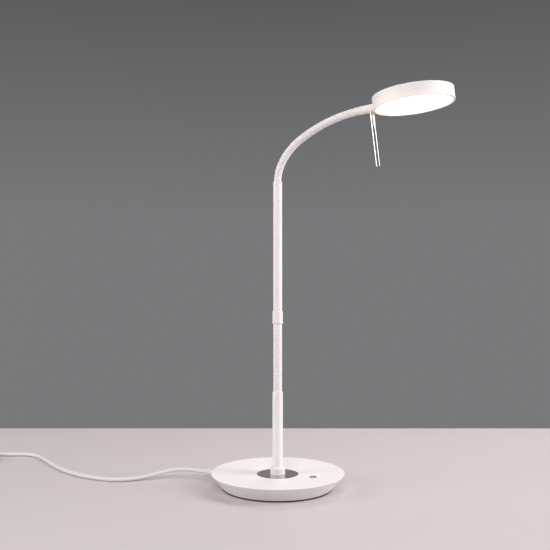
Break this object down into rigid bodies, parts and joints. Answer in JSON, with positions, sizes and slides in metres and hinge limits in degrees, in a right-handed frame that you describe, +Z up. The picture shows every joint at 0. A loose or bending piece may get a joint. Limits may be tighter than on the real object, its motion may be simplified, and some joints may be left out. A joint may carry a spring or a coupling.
{
  "type": "desk lamp",
  "caption": "White LED desk lamp: round weighted base with push button, stem with a flexible stretch, upper tube, gooseneck and flat round head with a chrome handle rod, on a mains cord.",
  "frame": {"origin": "middle of the foot pad's underside, on the table", "axes": "+Z up along the stem, +X towards the head, +Y to the left of someone looking along +X"},
  "size_m": [0.777, 0.2646, 0.5225],
  "materials": {
    "white_paint": "satin white paint",
    "hose": "satin white coating on a wound hose",
    "chrome": "polished chrome",
    "steel": "zinc-plated steel",
    "cast_iron": "rough casting",
    "aluminium": "plain sheet",
    "brass": "nickel-plated brass",
    "pad": "matt dark foam rubber",
    "diffuser": "opal, lit",
    "white_plastic": "smooth white plastic",
    "black_plastic": "matt black plastic",
    "green_board": "green solder mask",
    "led_board": "white solder mask",
    "led": "yellow phosphor, lit",
    "lead": "matt black insulation",
    "cord": "white sheath"
  },
  "bodies": {
    "base": {"base_shell": "white_paint", "disc_plate": "chrome", "base_weight": "cast_iron", "base_cover": "steel", "foot_pad": "pad", "cover_screws": "steel", "stem_nipple": "steel", "stem_washer": "steel", "stem_nut": "steel", "foot_collar": "white_paint", "lower_tube": "white_paint", "grub_screw": "steel", "flex_foot": "steel", "tact_switch": "black_plastic", "driver_board": "green_board", "board_pillars": "white_plastic", "board_parts": "black_plastic", "stem_lead": "lead", "flex_lead": "lead", "cord_relief": "cord", "mains_tail": "cord", "mains_cord": "cord", "cord_coil": "cord", "cord_tie": "black_plastic", "plug_body": "white_plastic", "plug_pins": "brass"},
    "button": {"button_cap": "chrome"},
    "flex_1": {"flex_link_1": "hose"},
    "flex_2": {"flex_link_2": "hose"},
    "flex_3": {"flex_link_3": "hose"},
    "flex_4": {"flex_link_4": "hose"},
    "flex_5": {"flex_link_5": "hose"},
    "pole": {"flex_head": "steel", "pole_collar": "white_paint", "upper_tube": "white_paint", "neck_foot": "steel", "pole_lead": "lead", "neck_lead": "lead"},
    "neck_1": {"neck_link_1": "hose"},
    "neck_2": {"neck_link_2": "hose"},
    "neck_3": {"neck_link_3": "hose"},
    "neck_4": {"neck_link_4": "hose"},
    "neck_5": {"neck_link_5": "hose"},
    "neck_6": {"neck_link_6": "hose"},
    "neck_7": {"neck_link_7": "hose"},
    "neck_8": {"neck_link_8": "hose"},
    "neck_9": {"neck_link_9": "hose"},
    "head": {"neck_sleeve": "white_paint", "handle_rod": "chrome", "spigot_nut": "steel", "head_housing": "white_paint", "bezel_ring": "white_paint", "diffuser": "diffuser", "reflector": "white_plastic", "heat_plate": "aluminium", "led_board": "led_board", "led_chips": "led", "head_screws": "steel", "head_lead": "lead"}
  },
  "joints": [
    {"name": "flex_pitch_1", "type": "hinge", "parent": "base", "child": "flex_1", "pos_m": [0, 0, 0.12964], "axis": [0, 1, 0], "range_deg": [-10, 10], "deforming": ["flex_lead"]},
    {"name": "flex_side_1", "type": "hinge", "parent": "flex_1", "child": "flex_2", "pos_m": [0, 0, 0.14799], "axis": [1, 0, 0], "range_deg": [-10, 10], "deforming": ["flex_lead"]},
    {"name": "flex_pitch_2", "type": "hinge", "parent": "flex_2", "child": "flex_3", "pos_m": [0, 0, 0.16633], "axis": [0, 1, 0], "range_deg": [-10, 10], "deforming": ["flex_lead"]},
    {"name": "flex_side_2", "type": "hinge", "parent": "flex_3", "child": "flex_4", "pos_m": [0, 0, 0.18467], "axis": [1, 0, 0], "range_deg": [-10, 10], "deforming": ["flex_lead"]},
    {"name": "flex_pitch_3", "type": "hinge", "parent": "flex_4", "child": "flex_5", "pos_m": [0, 0, 0.20301], "axis": [0, 1, 0], "range_deg": [-10, 10], "deforming": ["flex_lead"]},
    {"name": "flex_side_3", "type": "hinge", "parent": "flex_5", "child": "pole", "pos_m": [0, 0, 0.22136], "axis": [1, 0, 0], "range_deg": [-10, 10], "deforming": ["flex_lead"]},
    {"name": "neck_pitch_1", "type": "hinge", "parent": "pole", "child": "neck_1", "pos_m": [0, 0, 0.41324], "axis": [0, 1, 0], "range_deg": [-11.5, 8.5], "deforming": ["neck_lead"]},
    {"name": "neck_side_1", "type": "hinge", "parent": "neck_1", "child": "neck_2", "pos_m": [0.00304, 0, 0.43028], "axis": [0.9426, 0, -0.334], "range_deg": [-11.5, 11.5], "deforming": ["neck_lead"]},
    {"name": "neck_pitch_2", "type": "hinge", "parent": "neck_2", "child": "neck_3", "pos_m": [0.01109, 0, 0.44565], "axis": [0, 1, 0], "range_deg": [-11.5, 8.5], "deforming": ["neck_lead"]},
    {"name": "neck_pitch_3", "type": "hinge", "parent": "neck_3", "child": "neck_4", "pos_m": [0.0224, 0, 0.45882], "axis": [0, 1, 0], "range_deg": [-11.5, 8.5], "deforming": ["neck_lead"]},
    {"name": "neck_side_2", "type": "hinge", "parent": "neck_4", "child": "neck_5", "pos_m": [0.03622, 0, 0.46932], "axis": [0.5457, 0, -0.8379], "range_deg": [-11.5, 11.5], "deforming": ["neck_lead"]},
    {"name": "neck_pitch_4", "type": "hinge", "parent": "neck_5", "child": "neck_6", "pos_m": [0.05121, 0, 0.47814], "axis": [0, 1, 0], "range_deg": [-11.5, 8.5], "deforming": ["neck_lead"]},
    {"name": "neck_pitch_5", "type": "hinge", "parent": "neck_6", "child": "neck_7", "pos_m": [0.06693, 0, 0.48557], "axis": [0, 1, 0], "range_deg": [-11.5, 8.5], "deforming": ["neck_lead"]},
    {"name": "neck_side_3", "type": "hinge", "parent": "neck_7", "child": "neck_8", "pos_m": [0.08325, 0, 0.49154], "axis": [0.3005, 0, -0.9538], "range_deg": [-11.5, 11.5], "deforming": ["neck_lead"]},
    {"name": "neck_pitch_6", "type": "hinge", "parent": "neck_8", "child": "neck_9", "pos_m": [0.10006, 0, 0.496], "axis": [0, 1, 0], "range_deg": [-11.5, 8.5], "deforming": ["neck_lead"]},
    {"name": "neck_pitch_7", "type": "hinge", "parent": "neck_9", "child": "head", "pos_m": [0.11719, 0, 0.49893], "axis": [0, 1, 0], "range_deg": [-11.5, 8.5], "deforming": ["neck_lead"]},
    {"name": "button_press", "type": "slide", "parent": "base", "child": "button", "axis": [0, 0, -1], "range_m": [0, 0.0008], "stiffness_N_per_m": 1000, "springref_m": -0.0005}
  ],
  "couplings": [
    {"joint": "flex_pitch_2", "follows": "flex_pitch_1", "ratio": 1},
    {"joint": "flex_side_2", "follows": "flex_side_1", "ratio": 1},
    {"joint": "flex_pitch_3", "follows": "flex_pitch_1", "ratio": 1},
    {"joint": "flex_side_3", "follows": "flex_side_1", "ratio": 1},
    {"joint": "neck_pitch_2", "follows": "neck_pitch_1", "ratio": 1},
    {"joint": "neck_pitch_3", "follows": "neck_pitch_1", "ratio": 1},
    {"joint": "neck_side_2", "follows": "neck_side_1", "ratio": 1},
    {"joint": "neck_pitch_4", "follows": "neck_pitch_1", "ratio": 1},
    {"joint": "neck_pitch_5", "follows": "neck_pitch_1", "ratio": 1},
    {"joint": "neck_side_3", "follows": "neck_side_1", "ratio": 1},
    {"joint": "neck_pitch_6", "follows": "neck_pitch_1", "ratio": 1},
    {"joint": "neck_pitch_7", "follows": "neck_pitch_1", "ratio": 1}
  ]
}
